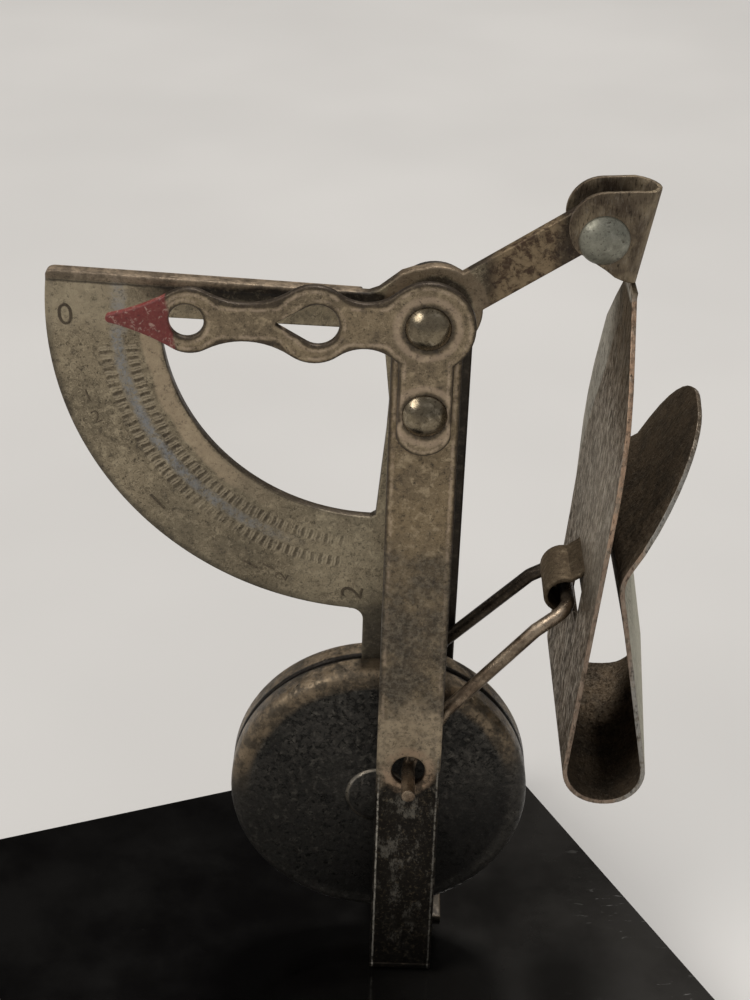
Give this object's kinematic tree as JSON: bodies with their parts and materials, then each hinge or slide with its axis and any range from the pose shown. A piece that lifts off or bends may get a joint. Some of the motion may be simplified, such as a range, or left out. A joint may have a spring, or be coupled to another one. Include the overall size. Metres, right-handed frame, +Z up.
{
  "type": "pendulum letter balance",
  "caption": "Small riveted brass letter balance with a quadrant scale, fixed pointer, disc counterweight, sprung letter clip and steadying wire link on a polished black slab.",
  "frame": {"origin": "on the slab's underside, below the point midway between the two feet of the post", "axes": "+Z up, +X towards the letter clip, -Y towards the side that is read"},
  "size_m": [0.1092, 0.0909, 0.1179],
  "materials": {
    "slab_black": "gloss",
    "fixing_steel": "satin",
    "brass_sheet": "tarnished satin",
    "brass_rivet": "worn gloss",
    "clip_sheet": "tarnished satin",
    "clip_rivet_metal": "dull",
    "wire_brass": "worn satin"
  },
  "bodies": {
    "post": {"base": "slab_black", "base_screws": "fixing_steel", "base_nuts": "fixing_steel", "front_strap": "brass_sheet", "back_strap": "brass_sheet", "pointer_plate": "brass_sheet", "pointer_rivet": "brass_rivet", "pivot_rivet": "brass_rivet", "pivot_bush_front": "brass_rivet", "pivot_bush_back": "brass_rivet"},
    "frame": {"quadrant_frame": "brass_sheet", "weight_front_shell": "brass_sheet", "weight_back_shell": "brass_sheet", "weight_rivet": "brass_rivet"},
    "clip": {"clip": "clip_sheet", "clip_rivet": "clip_rivet_metal", "clip_washers": "brass_rivet"},
    "wire": {"wire_link": "wire_brass"}
  },
  "joints": [
    {"name": "frame_pivot", "type": "hinge", "parent": "post", "child": "frame", "pos_m": [0, 0, 0.102], "axis": [0, 1, 0], "range_deg": [-3, 62]},
    {"name": "clip_pivot", "type": "hinge", "parent": "frame", "child": "clip", "pos_m": [0.01885, 0, 0.1116], "axis": [0, 1, 0], "range_deg": [-79, 4.5]},
    {"name": "wire_pivot", "type": "hinge", "parent": "post", "child": "wire", "pos_m": [0, 0, 0.0419], "axis": [0, 1, 0], "range_deg": [-3, 46.8]}
  ],
  "couplings": [
    {"joint": "clip_pivot", "follows": "frame_pivot", "ratio": -1.26},
    {"joint": "wire_pivot", "follows": "frame_pivot", "ratio": 0.742}
  ]
}
